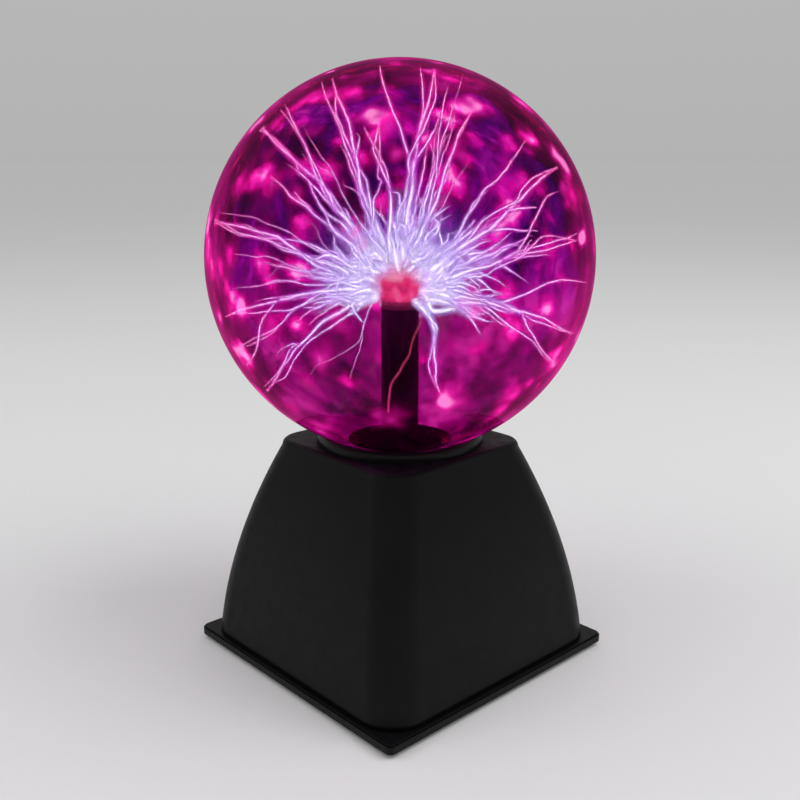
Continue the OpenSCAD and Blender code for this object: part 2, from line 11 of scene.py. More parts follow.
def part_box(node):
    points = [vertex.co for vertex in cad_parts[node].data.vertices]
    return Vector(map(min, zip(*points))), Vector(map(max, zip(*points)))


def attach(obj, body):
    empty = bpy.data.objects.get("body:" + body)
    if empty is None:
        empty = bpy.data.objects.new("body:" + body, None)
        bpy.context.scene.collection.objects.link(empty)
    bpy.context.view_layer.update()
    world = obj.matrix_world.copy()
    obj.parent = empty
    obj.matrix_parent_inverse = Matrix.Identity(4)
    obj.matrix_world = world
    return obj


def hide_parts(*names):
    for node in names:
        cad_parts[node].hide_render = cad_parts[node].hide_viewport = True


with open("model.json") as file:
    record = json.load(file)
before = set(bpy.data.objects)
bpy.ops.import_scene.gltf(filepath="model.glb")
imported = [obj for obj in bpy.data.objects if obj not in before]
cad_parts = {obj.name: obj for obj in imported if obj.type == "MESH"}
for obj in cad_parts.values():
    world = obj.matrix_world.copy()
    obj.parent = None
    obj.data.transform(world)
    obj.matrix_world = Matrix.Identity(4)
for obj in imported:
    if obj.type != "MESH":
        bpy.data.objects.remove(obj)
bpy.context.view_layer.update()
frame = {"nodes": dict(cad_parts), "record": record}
nodes = frame["nodes"]
scene = bpy.context.scene

MM = 0.001
TAU = 2 * math.pi
BASE = "base"
Z = Vector((0, 0, 1))

# ---------- Sizes, from the frame ----------

globe_low, globe_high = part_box("glass_globe")
GLOBE_R = (globe_high.x - globe_low.x) / 2
GLOBE_C = Vector((0, 0, globe_high.z - GLOBE_R))
GLASS_T = 1.8 * MM
INSIDE_R = GLOBE_R - GLASS_T
NECK_R = 18 * MM
NECK_Z = globe_low.z

ball_low, ball_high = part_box("electrode_ball")
BULB_C = (ball_low + ball_high) / 2
BULB_R = (ball_high.x - ball_low.x) / 2 + 1.35 * MM      # over the bulb's glass

house_low, house_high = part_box("base_housing")
SKIRT_W = house_high.x - house_low.x
SKIRT_Z = house_low.z
HOUSE_H = house_high.z - house_low.z
CROWN_W = SKIRT_W - 45 * MM
BOW = 28.7 * MM
SKIRT_CORNER = 15 * MM
CROWN_CORNER = 12 * MM
CROWN_ROUND = 2.6 * MM
WALL = 2.4 * MM
OPENING_R = 30 * MM

# ---------- Camera ----------

VIEW_BEARING = math.radians(47.3)      # corner-on, a little towards +X
VIEW_DISTANCE = 5 * GLOBE_R
VIEW_HEIGHT = GLOBE_C.z + 0.52 * GLOBE_R
VIEW_AIM_Z = 0.107
VIEW_LENS = 43

TO_VIEWER = Vector((math.sin(VIEW_BEARING), -math.cos(VIEW_BEARING), 0))
TO_RIGHT = Vector((math.cos(VIEW_BEARING), math.sin(VIEW_BEARING), 0))


def aim(obj, target):
    """Turns a camera or a lamp so that it looks at the target."""
    obj.rotation_euler = (Vector(target) - obj.location).to_track_quat("-Z", "Y").to_euler()


def make_camera():
    data = bpy.data.cameras.new("camera")
    data.lens = VIEW_LENS
    camera = bpy.data.objects.new("camera", data)
    scene.collection.objects.link(camera)
    camera.location = TO_VIEWER * VIEW_DISTANCE + Z * VIEW_HEIGHT
    aim(camera, (0, 0, VIEW_AIM_Z))
    scene.camera = camera


make_camera()

# ---------- Mesh helpers ----------


def level_circle(radius, z, count):
    """Points of a circle about the Z axis."""
    turns = [TAU * k / count for k in range(count)]
    return [Vector((radius * math.cos(a), radius * math.sin(a), z)) for a in turns]


def new_object(name, verts, faces, smooth=True):
    mesh = bpy.data.meshes.new(name)
    mesh.from_pydata([tuple(v) for v in verts], [], faces)
    mesh.update()
    obj = bpy.data.objects.new(name, mesh)
    scene.collection.objects.link(obj)
    if smooth:
        mesh.polygons.foreach_set("use_smooth", [True] * len(mesh.polygons))
    return obj


def piece(obj, material, slot, *stands_for):
    """Gives a new piece its material, and the base to ride on. Its slot is not used."""
    obj.data.materials.clear()
    obj.data.materials.append(material)
    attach(obj, BASE)
    if stands_for:
        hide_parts(*stands_for)
    return obj


def sharpen(obj, degrees=35):
    """Smooth shading, but for edges sharper than the angle."""
    bpy.context.view_layer.objects.active = obj
    with bpy.context.temp_override(object=obj, active_object=obj, selected_objects=[obj]):
        bpy.ops.object.shade_smooth_by_angle(angle=math.radians(degrees))


def apply_modifiers(obj):
    graph = bpy.context.evaluated_depsgraph_get()
    mesh = bpy.data.meshes.new_from_object(obj.evaluated_get(graph))
    obj.modifiers.clear()
    obj.data = mesh


def boolean(obj, tool, operation):
    """Unites, cuts or intersects obj with the tool, which is then removed."""
    modifier = obj.modifiers.new(operation.lower(), "BOOLEAN")
    modifier.operation = operation
    modifier.object = tool
    modifier.solver = "EXACT"
    apply_modifiers(obj)
    bpy.data.objects.remove(tool)


def loft(name, rings, closed=False):
    """Joins rings of equally many points into one closed skin. closed joins the last to the first."""
    count = len(rings[0])
    verts = [p for ring in rings for p in ring]
    faces = []
    last = len(rings) if closed else len(rings) - 1
    for i in range(last):
        a, b = i * count, (i + 1) % len(rings) * count
        for k in range(count):
            m = (k + 1) % count
            faces.append((a + k, a + m, b + m, b + k))
    if not closed:
        faces.append(tuple(range(count - 1, -1, -1)))
        faces.append(tuple((len(rings) - 1) * count + k for k in range(count)))
    return new_object(name, verts, faces)


def lathe(name, profile, around=192):
    """Turns a profile of (radius, height) points about the Z axis. Its two ends lie on the axis."""
    verts, rows = [], []
    for r, z in profile:
        rows.append(len(verts))
        if r == 0:
            verts.append(Vector((0, 0, z)))
        else:
            verts += level_circle(r, z, around)
    faces = []
    for i in range(len(profile) - 1):
        a, b = rows[i], rows[i + 1]
        for k in range(around):
            m = (k + 1) % around
            if profile[i][0] == 0:
                faces.append((a, b + k, b + m))
            elif profile[i + 1][0] == 0:
                faces.append((a + k, b, a + m))
            else:
                faces.append((a + k, b + k, b + m, a + m))
    return new_object(name, verts, faces)


def cylinder(name, low, high, radius, count=48):
    """A closed cylinder between two points."""
    axis = (high - low).normalized()
    u = axis.orthogonal().normalized()
    v = axis.cross(u)
    rings = [
        [p + radius * (math.cos(TAU * k / count) * u + math.sin(TAU * k / count) * v) for k in range(count)]
        for p in (low, high)
    ]
    return loft(name, rings)


def box(name, low, high):
    """A closed block between two corners."""
    rings = [
        [Vector((x, y, z)) for x, y in ((low.x, low.y), (high.x, low.y), (high.x, high.y), (low.x, high.y))]
        for z in (low.z, high.z)
    ]
    return loft(name, rings)


# ---------- Material helpers ----------

GLASS_PAINTED_SHADE = 0.14               # what the smoked globe's wall lets through; the smoke is painted shade, a darkening of all seen through it
GLARE = 1 / GLASS_PAINTED_SHADE          # how much brighter every light inside is, as the wall's painted shade takes it off again


class Nodes:
    """A material's node tree, with one short method for each kind of node."""

    def __init__(self, name):
        self.material = bpy.data.materials.new(name)
        self.material.use_nodes = True
        self.tree = self.material.node_tree
        self.tree.nodes.clear()
        self.out = self.tree.nodes.new("ShaderNodeOutputMaterial")
        self.coords = self.tree.nodes.new("ShaderNodeTexCoord").outputs["Object"]

    def link(self, a, b):
        self.tree.links.new(a, b)

    def put(self, socket, value):
        """Sets a socket to a plain value, or links it to another node's output."""
        if isinstance(value, bpy.types.NodeSocket):
            self.link(value, socket)
        else:
            socket.default_value = value

    def node(self, kind, **inputs):
        made = self.tree.nodes.new("ShaderNode" + kind)
        for name, value in inputs.items():
            self.put(made.inputs[name.replace("_", " ")], value)
        return made

    def noise(self, scale, detail=2, vector=None, roughness=0.5, distortion=0.0):
        made = self.node("TexNoise", Scale=scale, Detail=detail, Roughness=roughness, Distortion=distortion)
        self.link(vector or self.coords, made.inputs["Vector"])
        return made.outputs["Fac"]

    def math(self, operation, a, b=0.0):
        made = self.tree.nodes.new("ShaderNodeMath")
        made.operation = operation
        self.put(made.inputs[0], a)
        self.put(made.inputs[1], b)
        return made.outputs[0]

    def vector(self, operation, a, b=(0, 0, 0)):
        made = self.tree.nodes.new("ShaderNodeVectorMath")
        made.operation = operation
        self.put(made.inputs[0], a)
        self.put(made.inputs[1], b)
        return made.outputs["Value" if operation in ("LENGTH", "DOT_PRODUCT", "DISTANCE") else "Vector"]

    def range(self, value, low, high, to_low=0.0, to_high=1.0, smooth=False):
        made = self.tree.nodes.new("ShaderNodeMapRange")
        made.interpolation_type = "SMOOTHSTEP" if smooth else "LINEAR"
        for socket, given in zip(made.inputs, (value, low, high, to_low, to_high)):
            self.put(socket, given)
        return made.outputs[0]

    def mix(self, factor, a, b):
        made = self.tree.nodes.new("ShaderNodeMix")
        made.data_type = "RGBA"
        self.put(made.inputs[0], factor)
        self.put(made.inputs[6], a)
        self.put(made.inputs[7], b)
        return made.outputs[2]

    def ramp(self, value, stops):
        made = self.tree.nodes.new("ShaderNodeValToRGB")
        elements = made.color_ramp.elements
        while len(elements) < len(stops):
            elements.new(0.5)
        for element, (place, colour) in zip(elements, stops):
            element.position = place
            element.color = (*colour, 1)
        self.put(made.inputs[0], value)
        return made.outputs[0]

    def bump(self, height, distance, strength=1.0):
        made = self.node("Bump", Height=height, Distance=distance, Strength=strength)
        return made.outputs["Normal"]

    def show(self, shader):
        self.link(shader.outputs[0], self.out.inputs["Surface"])
        return self.material


def rgba(colour):
    return (*colour, 1.0)


def scaled_colour(colour, factor):
    return tuple(min(1.0, c * factor) for c in colour)


def moulded(name, colour, rough=0.5, grain=0.35 * MM, depth=0.01 * MM, gloss=0.5):
    """Moulded plastic: a fine sparked grain, uneven gloss, and a slight cloudiness in its colour."""
    n = Nodes(name)
    cloud = n.noise(60, 3)
    fine = n.noise(1 / grain, 2)
    dark, light = rgba(scaled_colour(colour, 0.85)), rgba(scaled_colour(colour, 1.2))
    tone = n.mix(n.range(cloud, 0.3, 0.7), dark, light)
    shader = n.node("BsdfPrincipled", Base_Color=tone)
    n.put(shader.inputs["Roughness"], n.range(n.noise(220, 4), 0.3, 0.7, rough - 0.06, rough + 0.07))
    n.put(shader.inputs["Normal"], n.bump(fine, depth))
    shader.inputs["Specular IOR Level"].default_value = gloss
    return n.show(shader)


def metal(name, colour, rough=0.3, along=(1, 1, 12)):
    """Metal with fine lines across the given direction and uneven polish."""
    n = Nodes(name)
    mapping = n.node("Mapping", Vector=n.coords, Scale=along)
    lines = n.noise(900, 3, mapping.outputs[0])
    tone = n.mix(n.noise(120, 2), rgba(scaled_colour(colour, 0.8)), rgba(scaled_colour(colour, 1.1)))
    shader = n.node("BsdfPrincipled", Base_Color=tone)
    shader.inputs["Metallic"].default_value = 1.0
    n.put(shader.inputs["Roughness"], n.range(lines, 0.3, 0.7, rough - 0.08, rough + 0.12))
    n.put(shader.inputs["Normal"], n.bump(lines, 0.006 * MM))
    return n.show(shader)


def rubber(name, colour, rough=0.75):
    """Rubber or soft insulation: dull, dusty in its hollows and very finely pitted."""
    n = Nodes(name)
    dust = n.range(n.noise(180, 5, roughness=0.7), 0.5, 0.75)
    tone = n.mix(dust, rgba(colour), rgba(scaled_colour([c + 0.02 for c in colour], 1.5)))
    shader = n.node("BsdfPrincipled", Base_Color=tone, Roughness=rough)
    n.put(shader.inputs["Normal"], n.bump(n.noise(2500, 2), 0.012 * MM))
    return n.show(shader)


def painted_glass(name, passes, index=1.15, smudge=0.04):
    """A skin of glass that lets the given share of light through, evenly; a low share is painted shade.
    Its mirror grows towards its rim, and its pink is a painted reflection of the glow within."""
    n = Nodes(name)
    # Painted reflection: the mirror is tinted pink, as though it showed the glow inside.
    mirror = n.node("BsdfGlossy", Color=(1, 0.1, 0.45, 1))
    n.put(mirror.inputs["Roughness"], n.range(n.noise(35, 5, roughness=0.6), 0.45, 0.75, 0.0, smudge))
    # Painted shade: a share below one darkens everything seen through the skin.
    through = n.node("BsdfTransparent", Color=(passes, passes, passes, 1))
    back = n.node("NewGeometry").outputs["Backfacing"]
    front = n.range(back, 0, 1, 1.0, 0.0)
    share = n.math("MULTIPLY", n.node("Fresnel", IOR=index).outputs[0], front)
    wall = n.node("MixShader", Fac=share)
    n.link(through.outputs[0], wall.inputs[1])
    n.link(mirror.outputs[0], wall.inputs[2])
    return n.show(wall)


# ---------- Housing ----------


def square_ring(width, corner, z, arc=14, side=6):
    """Points of a square with round corners, anticlockwise from the +X side's lower end."""
    half, inner = width / 2, width / 2 - corner
    ring = []
    for q in range(4):
        turn = q * TAU / 4
        cos_t, sin_t = round(math.cos(turn)), round(math.sin(turn))
        flat = [(half, -inner + 2 * inner * k / side) for k in range(side)]
        bend = [
            (inner + corner * math.cos(TAU / 4 * k / arc), inner + corner * math.sin(TAU / 4 * k / arc))
            for k in range(arc)
        ]
        ring += [Vector((x * cos_t - y * sin_t, x * sin_t + y * cos_t, z)) for x, y in flat + bend]
    return ring


def side_width(t):
    """Width of the housing at the fraction t of its height."""
    return SKIRT_W - (SKIRT_W - CROWN_W - BOW) * t - BOW * t * t


def housing_rings(inset, top, levels=40):
    """Rings of the housing's skin, moved inwards by inset, up to the height top."""
    body_top = 1 - CROWN_ROUND / HOUSE_H
    rings = []
    for i in range(levels + 1):
        t = body_top * i / levels
        corner = SKIRT_CORNER + (CROWN_CORNER - SKIRT_CORNER) * t
        rings.append(square_ring(side_width(t) - 2 * inset, corner - inset, SKIRT_Z + t * HOUSE_H + top))
    for a in range(15, 91, 15):
        back = CROWN_ROUND * (1 - math.cos(math.radians(a)))
        z = SKIRT_Z + HOUSE_H - CROWN_ROUND * (1 - math.sin(math.radians(a))) + top
        rings.append(square_ring(side_width(body_top) - 2 * inset - 2 * back, CROWN_CORNER - inset - back, z))
    return rings


def circle_like(ring, radius, z):
    """A circle whose points lie at the same bearings as the ring's."""
    return [Vector((v.x, v.y, 0)).normalized() * radius + Z * z for v in ring]


def housing_shell():
    """Outer skin, top, the round opening's wall and inner skin, in one closed surface."""
    outer = housing_rings(0, 0)
    inner = housing_rings(WALL, -WALL)
    inner = [r for r in inner if r[0].z > SKIRT_Z]
    foot = square_ring(SKIRT_W - 2 * WALL, SKIRT_CORNER - WALL, SKIRT_Z)
    top_z, under_z = outer[-1][0].z, inner[-1][0].z
    ring = outer[-1]
    opening = [circle_like(ring, OPENING_R, z) for z in (top_z, under_z)]
    return loft("housing", outer + opening + inner[::-1] + [foot], closed=True)


RECESS_W, RECESS_Z, RECESS_H = 64 * MM, 12 * MM, 22 * MM
RECESS_Y = 49 * MM
CONTROL_Z = RECESS_Z + RECESS_H / 2
JACK_X, MIC_X, SWITCH_X = -22 * MM, -8 * MM, 14 * MM
SWITCH_SCREW_X = 12.5 * MM
JACK_BORE_R, MIC_HOLE_R, SCREW_HOLE_R = 4.05 * MM, 0.7 * MM, 1.1 * MM
MIC_RING_R, MIC_RING_HOLES = 2 * MM, 6
SLOT_HALF_W, SLOT_HALF_H = 4.8 * MM, 2.4 * MM
BOSS_AT, BOSS_R = 44.5 * MM, 4.5 * MM
BOSS_RISE = Z * 36 * MM     # from a boss's foot to its top
BOSS_FOOT = 2.5 * MM        # gap under each boss, above the skirt
PAST_SKIN = 80 * MM         # a place on Y well outside the housing


def rounded_pocket(name, half_w, low_z, high_z, y0, y1, corner=1.2 * MM, arc=6):
    """A prism along Y with round corners, for the recess."""
    centre_z, half_h = (low_z + high_z) / 2, (high_z - low_z) / 2
    outline = []
    for q, (sx, sz) in enumerate(((1, 1), (-1, 1), (-1, -1), (1, -1))):
        for k in range(arc + 1):
            a = TAU / 4 * (q + k / arc)
            x = sx * (half_w - corner) + corner * math.cos(a)
            z = sz * (half_h - corner) + corner * math.sin(a)
            outline.append((x, z))
    rings = [[Vector((x, y, centre_z + z)) for x, z in outline] for y in (y1, y0)]
    return loft(name, rings)


def control_bore(x, radius, dz=0.0):
    """A tool for a round hole through the recess's floor, at the height of the controls plus dz."""
    start = Vector((x, RECESS_Y - WALL - MM, CONTROL_Z + dz))
    return cylinder("bore", start, start + Vector((0, WALL + 2 * MM, 0)), radius)


def make_housing():
    """The housing with its bosses, its recess and the holes of its controls."""
    obj = housing_shell()
    carrier = loft("carrier", housing_rings(0.4 * MM, 0))
    around = box(
        "around",
        Vector((-RECESS_W / 2 - WALL, RECESS_Y - WALL, RECESS_Z - WALL)),
        Vector((RECESS_W / 2 + WALL, PAST_SKIN, RECESS_Z + RECESS_H + WALL)),
    )
    boolean(carrier, around, "INTERSECT")
    boolean(obj, carrier, "UNION")
    for sx in (-1, 1):
        for sy in (-1, 1):
            boss = Vector((sx * BOSS_AT, sy * BOSS_AT, SKIRT_Z + BOSS_FOOT))
            boolean(obj, cylinder("boss", boss, boss + BOSS_RISE, BOSS_R), "UNION")
    pocket = rounded_pocket("pocket", RECESS_W / 2, RECESS_Z, RECESS_Z + RECESS_H, RECESS_Y, PAST_SKIN)
    boolean(obj, pocket, "DIFFERENCE")
    boolean(obj, control_bore(JACK_X, JACK_BORE_R), "DIFFERENCE")
    boolean(obj, control_bore(MIC_X, MIC_HOLE_R), "DIFFERENCE")
    for k in range(MIC_RING_HOLES):
        a = TAU * k / MIC_RING_HOLES
        hole = control_bore(MIC_X + MIC_RING_R * math.cos(a), MIC_HOLE_R, MIC_RING_R * math.sin(a))
        boolean(obj, hole, "DIFFERENCE")
    slot = rounded_pocket(
        "slot", SLOT_HALF_W, CONTROL_Z - SLOT_HALF_H, CONTROL_Z + SLOT_HALF_H,
        RECESS_Y - WALL - MM, RECESS_Y + MM, corner=0.5 * MM,
    )
    slot.location.x = SWITCH_X
    bpy.context.view_layer.update()
    boolean(obj, slot, "DIFFERENCE")
    for side in (-1, 1):
        boolean(obj, control_bore(SWITCH_X + side * SWITCH_SCREW_X, SCREW_HOLE_R), "DIFFERENCE")
    sharpen(obj, 30)
    evened = obj.modifiers.new("even_shading", "WEIGHTED_NORMAL")
    evened.keep_sharp = True
    return obj


housing_look = moulded("housing_look", (0.0038, 0.0036, 0.0043), rough=0.45, gloss=0.12)
piece(make_housing(), housing_look, "housing_plastic", "base_housing")

# ---------- Globe ----------


def globe_profile(radius, neck, fillet, steps=110):
    """From the top of a globe down its side, round a fillet and down its neck."""
    mid_r = neck + fillet
    mid_z = GLOBE_C.z - math.sqrt((radius + fillet) ** 2 - mid_r**2)
    last = math.atan2(mid_r, mid_z - GLOBE_C.z)
    points = [(0.0, GLOBE_C.z + radius)]
    for i in range(1, steps + 1):
        a = last * i / steps
        points.append((radius * math.sin(a), GLOBE_C.z + radius * math.cos(a)))
    turn = TAU / 2 - last
    for i in range(1, 9):
        a = turn + (TAU / 4 - turn) * i / 8
        points.append((mid_r - fillet * math.sin(a), mid_z + fillet * math.cos(a)))
    points.append((neck, NECK_Z))
    return points


OUTER_FILLET, INNER_FILLET = 2.5 * MM, 3.5 * MM


def make_globe():
    """The globe and its neck, with an outer and an inner skin."""
    outer = globe_profile(GLOBE_R, NECK_R, OUTER_FILLET)
    inner = globe_profile(INSIDE_R, NECK_R - GLASS_T, INNER_FILLET)
    return lathe("globe", outer + inner[::-1])


# The globe's outer skin is painted shade: its smoke darkens all seen through it.
globe = piece(make_globe(), painted_glass("globe_painted_shade_look", GLASS_PAINTED_SHADE), "globe_glass", "glass_globe")
globe.data.materials.append(painted_glass("globe_inside_look", 1.0))
for face in globe.data.polygons:        # only the outer skin is smoked, with painted shade
    face.material_index = int((face.center - GLOBE_C).length < GLOBE_R - GLASS_T / 2)

# ---------- Materials of the CAD nodes ----------


def mottled_glow(n):
    """The red and pink patches of a hot electrode."""
    return n.ramp(
        n.noise(230, 3, distortion=0.3),
        [(0.36, (0.32, 0.0, 0.02)), (0.5, (0.75, 0.0, 0.07)), (0.66, (1, 0.2, 0.45))],
    )


def stem_look():
    """The stem is black inside up to its bulb, whose glass glows red and pink, and white round its top."""
    n = Nodes("stem_look")
    up = n.vector("DOT_PRODUCT", n.vector("SUBTRACT", n.coords, tuple(BULB_C)), (0, 0, 1))
    ball = n.range(up, -6.5 * MM, -4.5 * MM, smooth=True)
    ragged_up = n.math("ADD", up, n.math("MULTIPLY", n.noise(170, 3), 16 * MM))
    crown = n.range(ragged_up, 8 * MM, 17 * MM, smooth=True)
    tone = n.mix(crown, mottled_glow(n), (1, 0.8, 1, 1))
    shader = n.node("BsdfPrincipled", Base_Color=(0.002, 0.002, 0.003, 1), Emission_Color=tone)
    shader.inputs["Specular IOR Level"].default_value = 0.15
    n.put(shader.inputs["Roughness"], n.range(n.noise(90, 3), 0.3, 0.7, 0.12, 0.25))
    flicker = n.range(n.noise(500, 2), 0.3, 0.7, 0.8 * GLARE, 1.1 * GLARE)
    n.put(shader.inputs["Emission Strength"], n.math("MULTIPLY", ball, flicker))
    n.put(shader.inputs["Alpha"], n.range(ball, 0, 1, 1.0, 0.85))
    n.material.cycles.emission_sampling = "NONE"
    return n.show(shader)


def electrode_look():
    """The electrode inside the bulb, which glows as the bulb does."""
    n = Nodes("electrode_glow_look")
    shader = n.node("BsdfPrincipled", Base_Color=(0.12, 0.05, 0.06, 1), Roughness=0.5)
    n.put(shader.inputs["Emission Color"], mottled_glow(n))
    shader.inputs["Emission Strength"].default_value = GLARE
    n.put(shader.inputs["Normal"], n.bump(n.noise(420, 4), 0.2 * MM))
    return n.show(shader)


LOOKS = {
    "stem_glass": stem_look(),
    "electrode_steel": electrode_look(),
    "sleeve_plastic": moulded("sleeve_look", (0.008, 0.008, 0.01), rough=0.7),
    "rod_steel": metal("rod_look", (0.6, 0.61, 0.63), 0.3),
    "cap_plastic": moulded("cap_look", (0.03, 0.03, 0.032)),
    "contact_brass": metal("brass_look", (0.78, 0.58, 0.25), 0.28),
    "black_rubber": rubber("rubber_look", (0.018, 0.018, 0.019)),
    "collar_plastic": moulded("collar_look", (0.0038, 0.0036, 0.0043), rough=0.36, gloss=0.18),
    "plinth_plastic": moulded("plinth_look", (0.0038, 0.0036, 0.0043), rough=0.42, gloss=0.14),
    "screw_steel": metal("screw_look", (0.66, 0.67, 0.69), 0.32),
    "clamp_plastic": moulded("clamp_look", (0.05, 0.05, 0.052)),
    "board_laminate": moulded("board_look", (0.02, 0.13, 0.06), rough=0.3, grain=1.2 * MM),
    "ferrite": moulded("ferrite_look", (0.06, 0.06, 0.063), rough=0.6, grain=0.6 * MM, depth=0.03 * MM),
    "bobbin_nylon": moulded("bobbin_look", (0.72, 0.68, 0.58), rough=0.45),
    "copper_wire": metal("copper_look", (0.72, 0.32, 0.14), 0.3, (1, 1, 3)),
    "taped_winding": moulded("tape_look", (0.5, 0.28, 0.04), rough=0.25, grain=2 * MM),
    "red_silicone": rubber("red_silicone_look", (0.4, 0.02, 0.02), 0.5),
    "heatsink_aluminium": metal("heatsink_look", (0.6, 0.61, 0.63), 0.38, (12, 12, 1)),
    "epoxy_black": moulded("epoxy_look", (0.02, 0.02, 0.022), rough=0.5, grain=0.2 * MM),
    "capacitor_sleeve": moulded("can_look", (0.02, 0.035, 0.16), rough=0.2, grain=1.5 * MM),
    "resistor_body": moulded("resistor_look", (0.6, 0.44, 0.24), rough=0.3, grain=0.8 * MM),
    "trimmer_blue": moulded("trimmer_look", (0.02, 0.09, 0.4), rough=0.3),
    "microphone_can": metal("microphone_look", (0.68, 0.68, 0.7), 0.25),
    "jack_plastic": moulded("jack_look", (0.012, 0.012, 0.013), rough=0.25),
    "jack_contact": metal("jack_contact_look", (0.8, 0.73, 0.58), 0.2),
    "jack_nut": metal("jack_nut_look", (0.62, 0.62, 0.63), 0.25),
    "switch_steel": metal("switch_look", (0.55, 0.55, 0.57), 0.3),
    "switch_knob": moulded("switch_knob_look", (0.05, 0.05, 0.053), rough=0.4),
    "red_wire": rubber("red_wire_look", (0.55, 0.02, 0.02), 0.45),
    "blue_wire": rubber("blue_wire_look", (0.03, 0.09, 0.45), 0.45),
    "white_wire": rubber("white_wire_look", (0.7, 0.7, 0.68), 0.45),
}


def dress_nodes():
    """Every carried-over CAD node gets the look of its material slot."""
    for subpart in frame["record"]["subparts"]:
        look = LOOKS.get(subpart["material_slot"])
        obj = nodes[subpart["node"]]
        if look is not None and not obj.hide_render:
            obj.data.materials.clear()
            obj.data.materials.append(look)


dress_nodes()

# ---------- Plasma ----------

SLEEVE_R = 7.5 * MM
PLASMA = "plasma"
SEED = 31
rng = random.Random(SEED)
noise.seed_set(SEED)        # noise_vector is otherwise shifted by the clock, and differs from run to run
STREAMER_END = INSIDE_R - 0.8 * MM      # distance from the globe's centre at which a streamer stops
STREAMER_ROOT, TUFT_ROOT = BULB_R + 0.3 * MM, BULB_R + 0.2 * MM     # from the bulb's centre
BRAIDED = 0.85              # a streamer brighter than this has a fainter one wound round it
SMALL_STREAMERS, CORONA_STRANDS, BLOTCHES, HAZE_RAYS = 30, 115, 230, 100
WING_STEPS, HAZE_STEPS, BLUSH_STEPS = 26, 16, 16


def any_way(rise=0.0, spread=1.0):
    """A random vector. rise is the mean of its height, and spread the deviation."""
    return Vector((rng.gauss(0, 1), rng.gauss(0, 1), rng.gauss(rise, spread)))


def sweep(path, radii, sides):
    """Points and faces of a closed tube of changing radius along a path, which doesn't twist."""
    verts, faces = [], []
    u = (path[1] - path[0]).orthogonal().normalized()
    for i, p in enumerate(path):
        along = (path[min(i + 1, len(path) - 1)] - path[max(i - 1, 0)]).normalized()
        u = (u - u.dot(along) * along).normalized()
        v = along.cross(u)
        for k in range(sides):
            a = TAU * k / sides
            verts.append(p + radii[i] * (math.cos(a) * u + math.sin(a) * v))
    for i in range(len(path) - 1):
        for k in range(sides):
            m = (k + 1) % sides
            faces.append((i * sides + k, i * sides + m, (i + 1) * sides + m, (i + 1) * sides + k))
    faces.append(tuple(range(sides - 1, -1, -1)))
    faces.append(tuple((len(path) - 1) * sides + k for k in range(sides)))
    return verts, faces


class Bundle:
    """Many closed surfaces that become one object, with a brightness for each point."""

    def __init__(self):
        self.verts, self.faces, self.glow = [], [], []

    def add(self, verts, faces, glow):
        start = len(self.verts)
        self.verts += verts
        self.faces += [tuple(start + i for i in face) for face in faces]
        self.glow += glow

    def tube(self, path, radii, glow, sides=8):
        verts, faces = sweep(path, radii, sides)
        self.add(verts, faces, [g for g in glow for _ in range(sides)])

    def build(self, name, material):
        obj = new_object(name, self.verts, self.faces)
        attribute = obj.data.attributes.new("glow", "FLOAT", "POINT")
        attribute.data.foreach_set("value", self.glow)
        return piece(obj, material, PLASMA)


def direction(clock, toward):
    """The direction at a clock angle as the viewer sees it, leaning towards the viewer, in degrees."""
    c, t = math.radians(clock), math.radians(toward)
    flat = math.sin(c) * TO_RIGHT + math.cos(c) * Z
    return (math.cos(t) * flat + math.sin(t) * TO_VIEWER).normalized()


def wander(path, amount, grain, key):
    """Bends a path like a spark: at several scales at once, and least at its two ends."""
    last = len(path) - 1
    bent = []
    for i, p in enumerate(path):
        ease = min(1.0, 5 * i / last) * min(1.0, 5 * (1 - i / last))
        shift = Vector((0, 0, 0))
        for octave, share in ((1, 1.0), (2.6, 0.32), (6.5, 0.1)):
            at = p * (octave / grain) + Vector((key, 2 * key, 3 * key))
            shift += share * noise.noise_vector(at)
        bent.append(p + amount * ease * shift)
    return bent


def bezier(a, b, c, d, steps):
    points = []
    for i in range(steps + 1):
        t = i / steps
        s = 1 - t
        points.append(s**3 * a + 3 * s * s * t * b + 3 * s * t * t * c + t**3 * d)
    return points


def clear_of_stem(p):
    """Pushes a point out of the glass stem and of the globe's wall."""
    if p.z < BULB_C.z:
        flat = Vector((p.x, p.y, 0))
        least = SLEEVE_R + 1.2 * MM
        if flat.length < least:
            p = flat.normalized() * least + Z * p.z
    out = p - GLOBE_C
    return GLOBE_C + out.normalized() * min(out.length, STREAMER_END)


def strand(start, leave, end, arrive, size, key, steps=44, grain=30 * MM):
    """The path of one streamer: it leaves and arrives in the given directions."""
    reach = (end - start).length
    path = bezier(start, start + leave * reach * 0.38, end - arrive * reach * 0.3, end, steps)
    return [clear_of_stem(p) for p in wander(path, size, grain, key)]


cores, inner_halo, outer_halo, trails, mist, blush, flares, ember = (Bundle() for _ in range(8))
spots = []      # place, size and power of each patch of light on the glass


def draw(path, thick, power, fade_end=False, root=1.0):
    """A streamer's bright core, and the widening layers of glow round it. A high root thins its start."""
    last = len(path) - 1
    shares = [i / last for i in range(last + 1)]
    taper = [1 - 0.4 * s + 0.5 * math.exp(-9 * s * root) for s in shares]
    taper = [t * (1 - s**3 if fade_end else 1 - 0.7 * s**8) + 0.02 for t, s in zip(taper, shares)]
    light = [power * (1 - 0.25 * s) for s in shares]
    cores.tube(path, [thick * t for t in taper], light, 6)
    inner_halo.tube(path, [thick * 2.2 * t for t in taper], light, 8)
    outer_halo.tube(path, [thick * 4.2 * t for t in taper], light, 8)
    for widen in (1.0, 0.68):
        wide = [widen * thick * (5.5 * t + 3 * s * s) for s, t in zip(shares, taper)]
        dim = [g * (0.55 + 0.6 * s) for g, s in zip(light, shares)]
        end = [1 - 0.9 * (s**2 if fade_end else s**8) for s in shares]
        trails.tube(path[::2], [w * e for w, e in zip(wide, end)][::2], dim[::2], 8)


